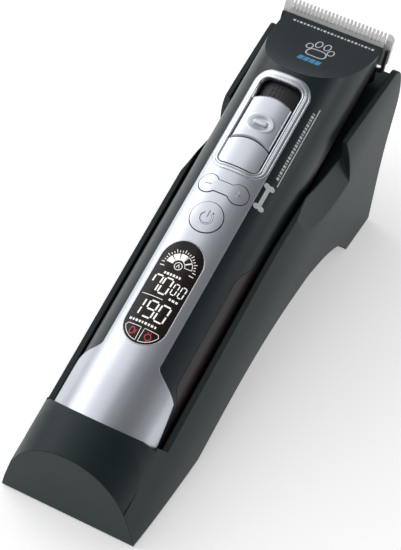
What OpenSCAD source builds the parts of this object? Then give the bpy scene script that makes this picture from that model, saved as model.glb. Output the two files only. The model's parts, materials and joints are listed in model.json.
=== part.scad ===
// Cordless pet clipper lying in its desktop charging dock.
// Millimetres, +Z up, +X along the table toward the cutting head, +Y to the clipper's left.
// The clipper is drawn about its own long axis and then leaned back into the dock.

/* [Clipper body] */
// Radius of the round body
body_r = 21; // [20.5:0.1:21.2]
// Distance from the power button to the tail end
tail_len = 96; // [95.5:0.1:96.3]
// Wall thickness of the body shells
shell_t = 1.8; // [1.5:0.1:2]
// Angle at which the clipper leans back in the dock
recline = 20; // [19.8:0.1:20.2]

/* [Face plate] */
// Half width of the narrow part of the face plate
plate_half_w = 11.6; // [11.2:0.1:12]
// Height that the face plate stands proud of the body
plate_t = 0.6; // [0.4:0.1:0.7]
// Length of the display window
display_len = 43.2; // [36:0.2:44]
// Half width of the display window
display_half_w = 8.3; // [7:0.1:8.5]

/* [Controls] */
// Radius of the power button
button_r = 6.2; // [5.6:0.1:6.4]
// Press travel of the power button
button_travel = 0.8; // [0.5:0.1:0.8]
// Radius of each end of the speed rocker
rocker_lobe_r = 3.8; // [3.4:0.1:3.9]
// Travel of the blade height slider
slider_travel = 6; // [4:0.5:6]

/* [Blades] */
// Width of the fixed blade
comb_w = 46.6; // [44:0.2:47]
// Width of the moving blade
cutter_w = 40.4; // [38:0.2:41]
// Angle between the blades and the body's axis
blade_angle = 46; // [45:0.5:47]
// Distance from one tooth to the next
tooth_pitch = 1.6; // [1.5:0.1:2]
// Half of the moving blade's side stroke, which is the crank's throw
stroke = 1.1; // [0.8:0.1:1.2]

/* [Dock] */
// Overall width of the dock
dock_w = 56.8; // [56:0.2:58]
// Wall thickness of the dock
dock_t = 2.4; // [2:0.1:2.6]
// Clearance between the clipper and its cradle
cradle_gap = 0.6; // [0.5:0.1:0.7]
// Height of the rubber feet
foot_h = 0.8; // [0.6:0.1:1]

/* [Hidden] */
$fn = 96;

// ---------- frames ----------
// Where the body's axis passes under the power button, in the table's frame
axis_at = [2.2, 0, 47];
// Where the nose facet meets the blades, in the body's frame
nose_at = [101.2, 0, -0.6];

// Puts something drawn about the clipper's own axis into the dock.
module clipper_frame() {
    translate(axis_at) rotate([0, -recline, 0]) children();
}

// Blade frame: +X along the teeth toward the tips, -Z toward the skin.
module blade_frame() {
    clipper_frame() translate(nose_at) rotate([0, -blade_angle, 0]) children();
}

// ---------- small helpers ----------
function arc(c, r, a0, a1, n) = [for (i = [0:n]) c + r * [cos(a0 + (a1 - a0) * i / n), sin(a0 + (a1 - a0) * i / n)]];
function curve(a, b, c, d, n) = [for (i = [0:n]) let (t = i / n, s = 1 - t)
    a * s * s * s + b * 3 * s * s * t + c * 3 * s * t * t + d * t * t * t];
function smooth_step(t) = let (k = min(1, max(0, t))) k * k * (3 - 2 * k);
function table_z_in_body(x, z) = (z - axis_at[2] - x * sin(recline)) / cos(recline);

// Extrudes a cross-section, drawn in Y and Z, along X between two stations.
module along_x(from, to) {
    translate([from, 0, 0]) rotate([90, 0, 90]) linear_extrude(to - from) children();
}

// Extrudes a side view, drawn in X and Z, to both sides of the middle.
module across(width) {
    rotate([90, 0, 0]) linear_extrude(width, center = true) children();
}

// Extrudes a plan, drawn in X and Y, between two heights.
module upward(from, to) {
    translate([0, 0, from]) linear_extrude(to - from) children();
}

// A tube wall about the body's axis between two radii and two stations.
module skin(r_in, r_out, from, to) {
    difference() {
        along_x(from, to) circle(r_out);
        along_x(from - 1, to + 1) circle(r_in);
    }
}

// Rectangle from x0 to x1, centred on the axis, with rounded corners.
module rounded_plan(x0, x1, half_w, r) {
    polygon(concat(arc([x1 - r, half_w - r], r, 90, 0, 8), arc([x1 - r, r - half_w], r, 0, -90, 8),
                   arc([x0 + r, r - half_w], r, -90, -180, 8), arc([x0 + r, half_w - r], r, 180, 90, 8)));
}

// ---------- clipper outline ----------
belly_r = 26;
belly_up = 7.5;
// Nose facet: a shallow hollow arc from the crown down to the blades
facet_r = 104;
facet_at = [139.2, 96.2];
// Where the seat of the blades ends at the chin, along the blade frame
heel = -17;
chin_slope = 19.6;
// The tail's underside lies parallel to the table, this high above it
tail_rest_z = 5.2;
top_z = 30;
low_z = -30;

module body_section(grow) {
    intersection() {
        circle(body_r + grow);
        translate([0, belly_up]) circle(belly_r + grow);
    }
}

heel_at = [nose_at[0] + heel * cos(blade_angle), nose_at[2] + heel * sin(blade_angle)];
function tail_bottom(x, t) = table_z_in_body(x, tail_rest_z) + t;
function chin_at(z) = heel_at[0] - (heel_at[1] - z) / tan(chin_slope);

// Side view of the body's outside
module body_side() {
    low_x = (tail_bottom(0, 0) - low_z) / tan(recline);
    polygon(concat(
        [[-tail_len, tail_bottom(-tail_len, 0)], [low_x, low_z], [chin_at(low_z), low_z], heel_at],
        arc(facet_at, facet_r, 248.6, 222, 14),
        [[60, top_z], [5 - tail_len, top_z], [5 - tail_len, 21], [-tail_len, 14]]));
}

// Side view of the space a depth t inside the body, open at the blades
module hollow_side(t) {
    low_x = (tail_bottom(0, t) - low_z) / tan(recline);
    tail_x = t - tail_len;
    chin_shift = t * [-sin(chin_slope), cos(chin_slope)];
    past_seat = 7 * [cos(chin_slope), sin(chin_slope)];
    polygon(concat(
        [[tail_x, tail_bottom(tail_x, t)], [low_x, low_z], [chin_at(low_z) + chin_shift[0], low_z]],
        [heel_at + chin_shift + past_seat],
        arc(facet_at, facet_r + t, 251, 222, 14),
        [[60, top_z], [tail_x + 5, top_z], [tail_x + 5, 21 - t], [tail_x, 14]]));
}

module body_solid() {
    intersection() {
        along_x(-tail_len - 1, 110) body_section(0);
        across(60) body_side();
        upward(-40, 40) rounded_plan(-tail_len, 120, body_r + 1, 7);
    }
}

module body_hollow(t) {
    intersection() {
        along_x(-tail_len - 1, 110) body_section(-t);
        across(60) hollow_side(t);
        upward(-40, 40) rounded_plan(t - tail_len, 120, body_r + 1 - t, 7);
    }
}

// Height of the seam between the two housings: two finger dips, a rise toward the tail, and a fall
// at the nose that keeps it below the facet
function seam_z(x) = 1.6 + 9 * smooth_step((3 - x) / 18) - 6 * smooth_step((-59 - x) / 8)
    - 3.6 * smooth_step((x - 84) / 14) - 2.8 * exp(-pow((x - 57.5) / 4.5, 2))
    - 2.8 * exp(-pow((x - 8.4) / 4, 2));

module above_seam(gap, up) {
    edge = [for (x = [-100:2.5:110]) [x, seam_z(x) + gap]];
    across(60) polygon(concat(edge, [[112, up], [-102, up]]));
}

// ---------- openings in the top ----------
display_x = -32.8;
rocker_x = 13.1;
rocker_y = 6.1;
well_x = [22.6, 61.8];
well_half_w = 8.7;

module display_plan(grow) {
    rounded_plan(display_x - display_len / 2 - grow, display_x + display_len / 2 + grow,
                 display_half_w + grow, display_half_w + grow - 0.01);
}

module rocker_plan(grow) {
    for (side = [-1, 1]) translate([rocker_x, side * rocker_y]) circle(rocker_lobe_r + grow);
    translate([rocker_x, 0]) square([4.6 + 2 * grow, 2 * rocker_y], center = true);
}

module top_openings(grow) {
    upward(8, 40) display_plan(grow);
    upward(8, 40) rocker_plan(grow);
    translate([0, 0, 8]) cylinder(h = 32, r = button_r + grow);
    upward(8, 40) rounded_plan(well_x[0], well_x[1], well_half_w, 3);
}

// ---------- inside layout ----------
motor_z = -3;
motor_x = [36, 68];
motor_r = 12;
// Front face of the motor's mounting ring, where the blade bracket starts
mount_face = motor_x[1] + 2.25;
shaft_r = 1.15;
run_fit = 0.05;
board_z = 10.6;
board_t = 1.6;
screw_at = [[-27, 13], [-27, -13], [27, 13], [27, -13]];
cell_y = 7.4;
cell_z = -3.5;
cell_r = 7;
cell_x = [-82, -33];
hinge_at = [88, -11.4];
hinge_pin_r = 0.9;
contact_y = 6;
rocker_pin_z = 17.6;

module screw_spots() {
    for (p = screw_at) translate([p[0], p[1], 0]) children();
}

// ---------- clipper housings ----------
module upper_housing() {
    ear_x = [8.6, 16.4];
    color("dimgray") clipper_frame() difference() {
        union() {
            difference() {
                intersection() {
                    body_solid();
                    above_seam(0.08, 40);
                }
                body_hollow(shell_t);
                top_openings(0.35);
            }
            intersection() {
                screw_spots() translate([0, 0, -7.9]) cylinder(h = 30, r = 3.6);
                body_hollow(shell_t / 2);
            }
            for (x = ear_x) translate([x, -1.8, 16.4]) cube([1.2, 3.6, 3.4]);
        }
        screw_spots() translate([0, 0, -8.5]) cylinder(h = 10.5, r = 1.2);
        translate([8, 0, rocker_pin_z]) rotate([0, 90, 0]) cylinder(h = 10, r = 0.8 + run_fit);
    }
}

module lower_housing() {
    color([0.13, 0.12, 0.13]) clipper_frame() difference() {
        union() {
            difference() {
                intersection() {
                    body_solid();
                    above_seam(-0.08, -60);
                }
                body_hollow(shell_t);
            }
            intersection() {
                screw_spots() translate([0, 0, -20]) cylinder(h = 12, r = 4.2);
                body_hollow(shell_t / 2);
            }
        }
        screw_spots() translate([0, 0, -21]) cylinder(h = 9.5, r = 2.9);
        screw_spots() translate([0, 0, -12]) cylinder(h = 6, r = 1.4);
        // notch for the blade unit's hinge
        translate([84.5, -8.8, -17]) cube([9, 17.6, 9]);
        for (side = [-1, 1]) translate([-tail_len - 1, side * contact_y, 0]) rotate([0, 90, 0])
            cylinder(h = 4, r = 2.55);
    }
}

module housing_screws() {
    color("silver") clipper_frame() screw_spots() {
        translate([0, 0, -13.2]) difference() {
            cylinder(h = 1.7, r = 2.7);
            translate([0, 0, -0.1]) cylinder(h = 1, r = 1.2, $fn = 6);
        }
        translate([0, 0, -11.5]) cylinder(h = 12, r = 1.15);
    }
}

module charge_contacts() {
    color("gold") clipper_frame() for (side = [-1, 1])
        translate([-tail_len, side * contact_y, 0]) rotate([0, 90, 0]) cylinder(h = 1.5, r = 2.5);
}

// ---------- face plate and trim ----------
plate_x = [-95.4, 65.2];

// Side view of the plate's flared skirt over the tail end
module skirt_side() {
    polygon(concat(curve([-56.5, 18.4], [-61, 18.6], [-62, 13], [-65.5, 8.5], 10),
                   [[-80.2, 5.2], [plate_x[0], 4.2], [plate_x[0], top_z], [-56.5, top_z]]));
}

module face_plate() {
    color("silver") clipper_frame() difference() {
        intersection() {
            skin(body_r + 0.02, body_r + plate_t, plate_x[0], plate_x[1]);
            union() {
                upward(5, 40) rounded_plan(plate_x[0] - 20, plate_x[1], plate_half_w, 6);
                across(60) skirt_side();
            }
            upward(-40, 40) rounded_plan(plate_x[0], 120, body_r + 1, 7);
            across(60) polygon([[plate_x[0], 0], [80, 0], [80, 40], [-89, 40], [-91, 21], [plate_x[0], 13]]);
        }
        top_openings(0.3);
    }
}

module slider_bezel() {
    color("gainsboro") clipper_frame() intersection() {
        skin(body_r + plate_t + 0.02, body_r + plate_t + 0.55, 18, 68);
        upward(5, 40) difference() {
            rounded_plan(20.4, 65, plate_half_w - 0.3, 6.5);
            rounded_plan(well_x[0], well_x[1], well_half_w, 3);
        }
    }
}

module slider_well() {
    slot = [41.2, 47.6 + slider_travel];
    color([0.1, 0.1, 0.1]) clipper_frame() difference() {
        intersection() {
            skin(body_r - 3.4, body_r - 2.2, 20, 64.4);
            upward(5, 40) rounded_plan(20.6, 64, 9.3, 3);
        }
        upward(5, 40) rounded_plan(slot[0], slot[1], 2, 1.9);
    }
}

slider_x = [35, 54.2];
slider_half_w = 8.1;

// Plan of the slider: a strip whose ends are shallow arcs bulging toward the head
module slider_plan(x0, x1) {
    bow_r = 18;
    intersection() {
        rounded_plan(x0 - 6, x1 + 0.2, slider_half_w, 1.5);
        translate([x1 - bow_r, 0]) circle(bow_r);
        difference() {
            square([400, 60], center = true);
            translate([x0 - bow_r, 0]) circle(bow_r);
        }
    }
}

module blade_slider() {
    nub_x = 42.6;
    color("silver") clipper_frame() {
        difference() {
            intersection() {
                skin(body_r - 1.7, body_r + 0.85, 30, 60);
                upward(5, 40) slider_plan(slider_x[0] + 0.6, slider_x[1]);
            }
            // thumb hollow
            translate([nub_x, 0, body_r + 12.85]) sphere(13);
        }
        // raised bar across the hollow, under the thumb
        intersection() {
            upward(body_r - 1.2, body_r + 3) translate([nub_x - 0.4, 0]) {
                square([2.8, 4.4], center = true);
                for (side = [-1, 1]) translate([0, side * 2.2]) circle(1.4);
            }
            along_x(30, 60) circle(body_r + 1.35);
        }
        // stem that carries the adjusting bar
        translate([nub_x - 0.4, -1.6, board_z + 1.65]) cube([4, 3.2, body_r - board_z - 3]);
    }
}

module trim_panel() {
    color("silver") clipper_frame() intersection() {
        skin(body_r - 2.1, body_r + 0.7, 20, 40);
        upward(5, 40) intersection() {
            rounded_plan(well_x[0] + 0.5, 50, slider_half_w, 2);
            translate([slider_x[0] - 18, 0]) circle(18);
        }
    }
}

// ---------- hand controls ----------
module power_button() {
    color("gainsboro") clipper_frame() {
        intersection() {
            translate([0, 0, 17.6]) cylinder(h = 10, r = button_r);
            along_x(-10, 10) circle(body_r + 0.95);
        }
        translate([0, 0, 14.8 + button_travel]) cylinder(h = 2.9 - button_travel, r = 1.6);
    }
}

module speed_rocker() {
    color("gainsboro") clipper_frame() {
        intersection() {
            upward(17, 30) rocker_plan(0);
            along_x(0, 30) circle(body_r + 0.85);
        }
        for (side = [-1, 1]) translate([rocker_x, side * rocker_y, 15.3]) cylinder(h = 1.8, r = 1.2);
        translate([8.9, 0, rocker_pin_z]) rotate([0, 90, 0]) cylinder(h = 8.4, r = 0.8);
    }
}

// ---------- display and board ----------
module display_window() {
    color([0.12, 0.1, 0.09, 0.8]) clipper_frame() intersection() {
        skin(body_r - 1.6, body_r + plate_t - 0.05, -60, 0);
        upward(5, 40) display_plan(0);
    }
}

module display_module() {
    color([0.2, 0.17, 0.15]) clipper_frame() translate([display_x - 21, -7.9, board_z + board_t])
        cube([42, 15.8, 4.4]);
}

module main_board() {
    color("darkgreen") clipper_frame() translate([-58, -9.2, board_z]) cube([90, 18.4, board_t]);
}

module switches() {
    spots = [[0, 0], [rocker_x, rocker_y], [rocker_x, -rocker_y]];
    color([0.15, 0.15, 0.15]) clipper_frame() for (p = spots) translate([p[0], p[1], board_z + board_t]) {
        translate([-2.2, -2.2, 0]) cube([4.4, 4.4, 1.6]);
        translate([0, 0, 1.6]) cylinder(h = 0.8, r = 1.1);
    }
}

// ---------- battery ----------
module cell_spots(from) {
    for (side = [-1, 1]) translate([from, side * cell_y, cell_z]) rotate([0, 90, 0]) children();
}

module battery_cells() {
    color("steelblue") clipper_frame() cell_spots(cell_x[0]) {
        cylinder(h = cell_x[1] - cell_x[0] - 1, r = cell_r);
        translate([0, 0, cell_x[1] - cell_x[0] - 1]) cylinder(h = 1, r = 2.8);
    }
}

module battery_tabs() {
    tab_h = 5;
    color("silver") clipper_frame() {
        translate([cell_x[0] - 0.4, -11, cell_z - tab_h / 2]) cube([0.4, 22, tab_h]);
        for (side = [-1, 1]) translate([cell_x[1], side * cell_y - 2.5, cell_z - tab_h / 2])
            cube([0.4, 5, tab_h]);
    }
}

module battery_tray() {
    color("dimgray") clipper_frame() difference() {
        translate([cell_x[0], -12.5, -11.7]) cube([cell_x[1] - cell_x[0] - 1, 25, 4.5]);
        cell_spots(cell_x[0] - 1) cylinder(h = 60, r = cell_r + 0.15);
    }
}

// ---------- motor and drive ----------
module on_motor_axis(x) {
    clipper_frame() translate([x, 0, motor_z]) rotate([0, 90, 0]) children();
}

module motor() {
    boss_r = 4;
    color("silver") on_motor_axis(motor_x[0]) difference() {
        union() {
            cylinder(h = motor_x[1] - motor_x[0], r = motor_r);
            cylinder(h = motor_x[1] - motor_x[0] + 2, r = boss_r);
        }
        translate([0, 0, 24]) cylinder(h = 12, r = shaft_r + run_fit);
        for (side = [-1, 1]) translate([0, side * 8, 28]) cylinder(h = 5, r = 1.05);
    }
}

module motor_mount() {
    color([0.25, 0.25, 0.27]) on_motor_axis(motor_x[1] + 0.05) difference() {
        cylinder(h = 2.2, r = 13);
        translate([0, 0, -1]) cylinder(h = 5, r = 4.1);
        for (side = [-1, 1]) translate([0, side * 8, -1]) cylinder(h = 5, r = 1.1);
    }
}

module motor_screws() {
    color("silver") on_motor_axis(motor_x[1]) for (side = [-1, 1]) translate([0, side * 8, 0]) {
        translate([0, 0, -3.5]) cylinder(h = 5.75, r = 1);
        translate([0, 0, 2.25]) cylinder(h = 1.3, r = 2);
    }
}

module motor_shaft() {
    color("gainsboro") on_motor_axis(motor_x[0] + 24.5) cylinder(h = 15, r = shaft_r);
}

module drive_crank() {
    color("white") on_motor_axis(72) {
        difference() {
            cylinder(h = 4, r = 4.6);
            translate([0, 0, -1]) cylinder(h = 4.6, r = shaft_r + 0.01);
        }
        translate([-stroke, 0, 4]) cylinder(h = 13, r = 1.5);
    }
}

module adjust_bar() {
    color("white") clipper_frame() translate([40, -3, board_z]) cube([26, 6, board_t]);
}

// ---------- blade unit ----------
// The hinge's centre in the blade frame
hinge_dx = hinge_at[0] - nose_at[0];
hinge_dz = hinge_at[1] - nose_at[2];
hinge_s = hinge_dx * cos(blade_angle) + hinge_dz * sin(blade_angle);
hinge_n = hinge_dz * cos(blade_angle) - hinge_dx * sin(blade_angle);
blade_screw_s = -11.5;
blade_screw_y = 13;
comb_tip = 5.2;
cutter_tip = 3.9;
tooth_count = 26;
tooth_gap = 0.75;

module blade_screw_spots(z) {
    for (side = [-1, 1]) translate([blade_screw_s, side * blade_screw_y, z]) children();
}

module blade_bracket() {
    color("silver") clipper_frame() difference() {
        union() {
            translate([mount_face, -8.4, -13.4]) cube([81 - mount_face, 16.8, 1.2]);
            for (side = [-1, 1]) translate([0, side * 7.5, 0]) {
                translate([78, -0.9, -12.4]) cube([10, 1.8, 1.9]);
                translate([hinge_at[0], 0, hinge_at[1]]) rotate([90, 0, 0])
                    cylinder(h = 1.8, r = 1.9, center = true);
            }
        }
        translate([hinge_at[0], 0, hinge_at[1]]) rotate([90, 0, 0])
            cylinder(h = 20, r = hinge_pin_r, center = true);
    }
}

module hinge_pin() {
    color("gainsboro") clipper_frame() translate([hinge_at[0], 0, hinge_at[1]]) rotate([90, 0, 0])
        cylinder(h = 16.8, r = hinge_pin_r, center = true);
}

module blade_base() {
    color([0.12, 0.12, 0.12]) blade_frame() difference() {
        union() {
            upward(-2, -0.4) rounded_plan(-15.6, -8.6, cutter_w / 2, 1.5);
            // cheeks that flank the moving blade, inside the comb's guard teeth
            for (side = [-1, 1]) upward(-2, -0.4)
                polygon([[-10, side * 19], [-8.9, side * 19], [-8.1, side * 21.7], [-0.6, side * 21.7],
                         [-0.6, side * 23], [-9, side * 23], [-10, side * 22]]);
            translate([hinge_s, -6.2, -1.6]) cube([3.2, 12.4, hinge_n + 1.6]);
            translate([hinge_s, 0, hinge_n]) rotate([90, 0, 0]) cylinder(h = 12.4, r = 1.8, center = true);
        }
        translate([hinge_s, 0, hinge_n]) rotate([90, 0, 0])
            cylinder(h = 20, r = hinge_pin_r + run_fit, center = true);
        blade_screw_spots(-3) cylinder(h = 4, r = 1.2);
    }
}

// Slots between the teeth, from a root line out past the tips
module tooth_gaps(count, root) {
    for (i = [0:count - 1]) translate([root, (i - (count - 1) / 2) * tooth_pitch - tooth_gap / 2, -6])
        cube([12, tooth_gap, 6]);
}

module fixed_blade() {
    color("lightgray") blade_frame() difference() {
        intersection() {
            across(comb_w) polygon([[-14, -2.05], [3, -2.05], [comb_tip, -2.8], [comb_tip, -3.1],
                                    [2.6, -3.8], [-13, -3.8], [-14, -3.3]]);
            upward(-5, 0) {
                rounded_plan(-7.6, comb_tip, comb_w / 2, 2.2);
                rounded_plan(-14, 0, 19.4, 2.2);
            }
        }
        tooth_gaps(tooth_count, 0.8);
        blade_screw_spots(-5) cylinder(h = 4, r = 1.25);
    }
}

module blade_screws() {
    color("silver") blade_frame() blade_screw_spots(-4.9) {
        difference() {
            cylinder(h = 1.1, r = 2.3);
            translate([-3, -0.35, -0.1]) cube([6, 0.7, 0.6]);
        }
        cylinder(h = 4.4, r = 1.15);
    }
}

module blade_guide() {
    color([0.2, 0.2, 0.2]) blade_frame() upward(-1.95, -0.4) rounded_plan(-7, -4.75, 15, 0.8);
}

module tension_spring() {
    wire_r = 0.45;
    color("gainsboro") blade_frame() translate([0, 0, 0.06]) {
        translate([-5.8, 0, 0]) rotate([90, 0, 0]) cylinder(h = 24, r = wire_r, center = true);
        for (side = [-1, 1]) translate([-5.8, side * 12, 0]) {
            sphere(wire_r);
            rotate([0, 90, 0]) cylinder(h = 2.8, r = wire_r);
        }
    }
}

module moving_blade() {
    color("white") blade_frame() difference() {
        intersection() {
            across(cutter_w) polygon([[-4.5, -1.95], [cutter_tip, -1.95], [cutter_tip, -1.5], [2.2, -0.4], [-4.5, -0.4]]);
            upward(-5, 0) rounded_plan(-4.5, cutter_tip, cutter_w / 2, 1);
        }
        tooth_gaps(tooth_count - 2, 1.2);
    }
}

module drive_fork() {
    foot_front = [99.4, -3.04];
    foot_back = [98.36, -4.11];
    // the foot's back rises square to the cutter, over the tension spring
    foot_rise = foot_back + 1.7 * [-sin(blade_angle), cos(blade_angle)];
    color("black") clipper_frame() {
        for (side = [-1, 1]) translate([0, side * 5.2, 0])
            across(2.2) polygon([[84, -7], [84, 0], [90, 0], foot_front, foot_back, foot_rise, [91, -7]]);
        across(9) polygon([[91.5, -6.5], [91.5, -0.5], foot_front, foot_back, foot_rise]);
    }
}

// ---------- dock ----------
side_lean = 0.309;
axis_half_w = 25.47;
hood_r = 24.33;
rear_x = -102.5;
pocket_end = -tail_len - 0.8;
pin_tip = -tail_len - 0.05;
under_x = [-57, 20];
feet_at = [[-70, 21], [-70, -21], [77, 21], [77, -21]];
base_screw_at = [[-94, 18], [-94, -18], [77, 10], [77, -10]];
plate_h = 1.8;
inlet_at = [-50, 10];

// Underside of the dock in side view: flat rear base, long arch, front foot
function underside(up) = concat(
    curve([under_x[0], foot_h + up], [-32, 10.3 + up], [-12, 19.2 + up], [under_x[1], 19.6 + up], 12),
    curve([under_x[1] + 8, 19.8 + up], [46, 18 + up], [62 + up, 12], [66.6 + up, foot_h + up], 12));

// Outside of the dock in side view
module dock_side() {
    polygon(concat(
        [[rear_x, foot_h]], underside(0),
        [[87.5, foot_h]],
        curve([91, 20], [95, 42], [101.5, 50], [102, 58], 10),
        curve([102, 62], [102, 68], [101, 71.6], [97, 71.6], 6),
        curve([62, 66.2], [40, 61.5], [20, 57], [-5.2, 47.9], 8),
        [[-74.4, 21.9], [-87.7, 40.3], [-89, 46], [rear_x, 46]]));
}

// Cross-section of the dock's outside, seen along the clipper's axis
module dock_section(inset) {
    half = dock_w / 2 - inset;
    at_axis = axis_half_w - inset;
    flank = curve([at_axis, 0], [at_axis + 8 * side_lean, -8], [half, -14], [half, -24], 10);
    intersection() {
        polygon(concat([[half, -90], [-half, -90]],
                       [for (i = [len(flank) - 1:-1:0]) [-flank[i][0], flank[i][1]]],
                       [[30 * side_lean - at_axis, 30], [at_axis - 30 * side_lean, 30]], flank));
        union() {
            translate([0, -60]) square([80, 135], center = true);
            circle(hood_r - inset);
        }
    }
}

module dock_outside() {
    intersection() {
        across(80) dock_side();
        clipper_frame() along_x(-140, 140) dock_section(0);
        // the hood's crown falls slightly toward the rear face
        union() {
            clipper_frame() translate([-86, 0, -0.5]) rotate([0, -5, 0]) translate([-40, 0, 0])
                rotate([0, 90, 0]) cylinder(h = 42, r = hood_r + 0.5);
            clipper_frame() translate([-150, -40, -90]) cube([300, 80, 97]);
            clipper_frame() translate([-86, -40, -90]) cube([300, 80, 130]);
        }
    }
}

// Open tub around the clipper in front of the hood: its plan widens and its floor drops toward the head
module tub(grow) {
    intersection() {
        upward(-60, 60) polygon([[-84 - grow, 22.3 + grow], [5, 22.4 + grow], [62, 24.1 + grow], [140, 26.6 + grow],
                                 [140, -26.6 - grow], [62, -24.1 - grow], [5, -22.4 - grow], [-84 - grow, -22.3 - grow]]);
        across(80) polygon([[-84 - grow, -3 - grow], [0, -5 - grow], [60, -12 - grow], [140, -20 - grow],
                            [140, 60], [-84 - grow, 60]]);
    }
}

// Space kept free for the clipper, drawn larger by grow
module cradle(grow) {
    clipper_frame() intersection() {
        union() {
            along_x(pocket_end - grow, 140) body_section(cradle_gap + 0.5 + grow);
            tub(grow);
        }
        across(80) polygon([[pocket_end - grow, tail_bottom(pocket_end - grow, -cradle_gap - grow)],
                            [0, tail_bottom(0, -cradle_gap - grow)], [140, -60], [140, 60],
                            [pocket_end - grow, 60]]);
    }
}

// Finger scoops: a long shallow dish in the outer face of each side wall. It lowers the wall's top edge
// and ends at the front in a leaning step
module scoops(grow) {
    clipper_frame() for (side = [-1, 1]) {
        intersection() {
            translate([71.8, side * 302.1, 78.1]) sphere(292 + grow);
            translate([59.3, 0, 0]) rotate([0, 14.8, 0]) translate([-90, side * 30 - 20, -40]) {
                cube([90 + grow, 40, 80]);
            }
        }
    }
}

module dock_shell() {
    color([0.2, 0.23, 0.24]) difference() {
        union() {
            difference() {
                dock_outside();
                // hollow inside, open at the bottom
                difference() {
                    intersection() {
                        across(80) polygon([[rear_x + dock_t, -5], [84.8, -5], [88.5, 20], [94, 46], [98, 60], [96, 66],
                                            [62, 63], [-5, 45], [-74, 19], [rear_x + dock_t, 32]]);
                        clipper_frame() along_x(-140, 140) dock_section(dock_t);
                    }
                    cradle(2);
                    scoops(2);
                }
            }
            intersection() {
                dock_outside();
                for (p = base_screw_at) translate([p[0], p[1], foot_h + plate_h + 0.05]) cylinder(h = 60, r = 3.2);
            }
        }
        cradle(0);
        for (p = base_screw_at) translate([p[0], p[1], 0]) cylinder(h = 12, r = 1.25);
        scoops(0);
        // window for the contact holder
        clipper_frame() translate([pocket_end - 8, -10.1, -3.1]) cube([9, 20.2, 6.2]);
        translate([inlet_at[0], 19.3, inlet_at[1]]) rotate([-90, 0, 0]) cylinder(h = 12, r = 4);
    }
}

module dock_base_plate() {
    inner = dock_w / 2 - dock_t - 0.1;
    color([0.15, 0.17, 0.18]) difference() {
        intersection() {
            across(2 * inner) polygon(concat(
                [[rear_x + dock_t + 0.2, foot_h]], underside(0), [[84.4, foot_h], [84.4, foot_h + plate_h]],
                [for (i = [len(underside(0)) - 1:-1:0]) underside(plate_h)[i]],
                [[rear_x + dock_t + 0.2, foot_h + plate_h]]));
            clipper_frame() along_x(-140, 140) dock_section(dock_t + 0.1);
        }
        for (p = base_screw_at) translate([p[0], p[1], 0]) {
            cylinder(h = 6, r = 1.4);
            translate([0, 0, foot_h - 0.1]) cylinder(h = 1.1, r = 2.7);
        }
        // relief under the belly of the cradle
        cradle(2.05);
    }
}

module rubber_feet() {
    color([0.08, 0.08, 0.08]) for (p = feet_at) translate([p[0], p[1], 0]) cylinder(h = foot_h, r = 4);
}

module base_screws() {
    color("silver") for (p = base_screw_at) translate([p[0], p[1], foot_h + 0.05]) {
        difference() {
            cylinder(h = 0.9, r = 2.5);
            translate([0, 0, -0.1]) cylinder(h = 0.5, r = 1.1, $fn = 6);
        }
        cylinder(h = 10, r = 1.2);
    }
}

module contact_holder() {
    color("white") clipper_frame() difference() {
        translate([pocket_end - 6, -10, -3]) cube([6, 20, 6]);
        for (side = [-1, 1]) translate([pocket_end - 7, side * contact_y, 0]) rotate([0, 90, 0])
            cylinder(h = 9, r = 1 + run_fit);
    }
}

module contact_pins() {
    color("gold") clipper_frame() for (side = [-1, 1]) translate([pin_tip - 5, side * contact_y, 0])
        rotate([0, 90, 0]) {
            cylinder(h = 4.4, r = 1);
            translate([0, 0, 4.4]) cylinder(h = 0.6, r1 = 1, r2 = 0.5);
        }
}

module dock_board() {
    color("darkgreen") clipper_frame() translate([pocket_end - 8.2, -12, -5]) cube([1.6, 24, 11]);
}

module dc_inlet() {
    color([0.1, 0.1, 0.1]) translate([inlet_at[0], 19.5, inlet_at[1]]) rotate([-90, 0, 0]) {
        difference() {
            cylinder(h = 8.6, r = 3.9);
            translate([0, 0, 1.6]) cylinder(h = 8, r = 3);
        }
        cylinder(h = 7.6, r = 0.95);
    }
}

dock_shell();
dock_base_plate();
rubber_feet();
base_screws();
contact_holder();
contact_pins();
dock_board();
dc_inlet();
upper_housing();
lower_housing();
face_plate();
slider_bezel();
slider_well();
blade_slider();
trim_panel();
speed_rocker();
power_button();
display_window();
display_module();
main_board();
switches();
battery_cells();
battery_tabs();
battery_tray();
motor();
motor_mount();
motor_screws();
motor_shaft();
drive_crank();
adjust_bar();
blade_bracket();
hinge_pin();
blade_base();
fixed_blade();
blade_screws();
blade_guide();
tension_spring();
moving_blade();
drive_fork();
housing_screws();
charge_contacts();
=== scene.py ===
# %% [markdown]
# # A pet clipper lying in its charging dock
# This lesson dresses a measured model of a cordless clipper. The shapes come from
# a CAD frame, so every position below is worked out from that frame. What is left
# for Blender is what a hand or an eye meets: finishes, printed marks, the lit
# display, the shine of the bezel, and soft light to show them.

# %% Load the frame
import json
import math

import bmesh
import bpy
from mathutils import Matrix, Vector


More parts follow.
